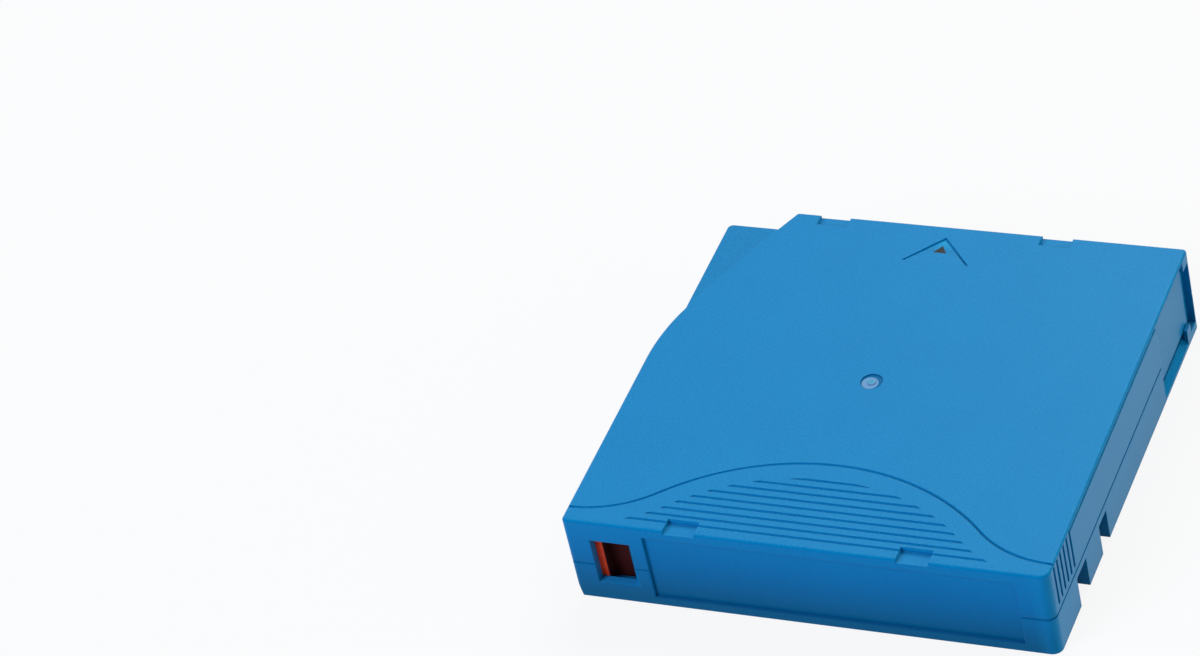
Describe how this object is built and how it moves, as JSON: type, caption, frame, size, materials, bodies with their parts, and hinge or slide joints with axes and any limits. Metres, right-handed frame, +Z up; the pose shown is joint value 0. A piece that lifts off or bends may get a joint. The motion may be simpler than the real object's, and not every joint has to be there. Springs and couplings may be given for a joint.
{
  "type": "data tape cartridge",
  "caption": "Single-reel half-inch data tape cartridge with a moulded two-part case, a sprung side door, a write-protect slider and a braked reel.",
  "frame": {"origin": "middle of the underside of the case", "axes": "+X along the label edge, to the right as the label is read; +Y towards the end that enters the drive; +Z up, from the side with the reel opening to the plain top"},
  "size_m": [0.1054, 0.102, 0.0215],
  "materials": {
    "shell_blue": "fine-textured moulded polycarbonate, blue",
    "slider_red": "moulded plastic, dark red",
    "reel_grey": "glass-filled moulded plastic, light grey",
    "tape_dark": "wound magnetic tape, dark brown-black",
    "steel_plate": "stamped magnetic steel",
    "release_white": "acetal, off-white",
    "spring_steel": "spring steel",
    "pin_steel": "polished stainless steel",
    "clip_plastic": "moulded plastic, black",
    "chip_board": "circuit board, green",
    "screw_steel": "zinc-plated steel"
  },
  "bodies": {
    "case": {"upper_shell": "shell_blue", "lower_shell": "shell_blue", "case_screw_front_left": "screw_steel", "case_screw_front_right": "screw_steel", "case_screw_rear_left": "screw_steel", "case_screw_rear_right": "screw_steel", "memory_chip": "chip_board", "leader_pin": "pin_steel", "pin_clip": "clip_plastic", "pin_spring_lower": "spring_steel", "pin_spring_upper": "spring_steel", "tape_leader": "tape_dark", "door_spring": "spring_steel", "brake_spring": "spring_steel"},
    "door": {"door": "shell_blue"},
    "write_protect": {"write_protect_slider": "slider_red"},
    "reel": {"reel_hub": "reel_grey", "reel_upper_flange": "reel_grey", "tape_pack": "tape_dark", "drive_plate": "steel_plate"},
    "release": {"release_plate": "release_white"},
    "brake": {"brake_button": "release_white"}
  },
  "joints": [
    {"name": "door_slide", "type": "slide", "parent": "case", "child": "door", "axis": [0, -1, 0], "range_m": [0, 0.0175], "stiffness_N_per_m": 20, "springref_m": -0.012, "deforming": ["door_spring"]},
    {"name": "write_protect_slide", "type": "slide", "parent": "case", "child": "write_protect", "axis": [1, 0, 0], "range_m": [0, 0.0062]},
    {"name": "reel_spin", "type": "hinge", "parent": "case", "child": "reel", "pos_m": [-0.0015, 0, 0], "axis": [0, 0, 1], "continuous": true},
    {"name": "brake_lift", "type": "slide", "parent": "case", "child": "brake", "axis": [0, 0, 1], "range_m": [0, 0.002], "stiffness_N_per_m": 150, "springref_m": -0.01, "deforming": ["brake_spring"]},
    {"name": "release_lift", "type": "slide", "parent": "reel", "child": "release", "axis": [0, 0, 1], "range_m": [0, 0.002]}
  ],
  "couplings": [
    {"joint": "release_lift", "follows": "brake_lift", "ratio": 1}
  ]
}
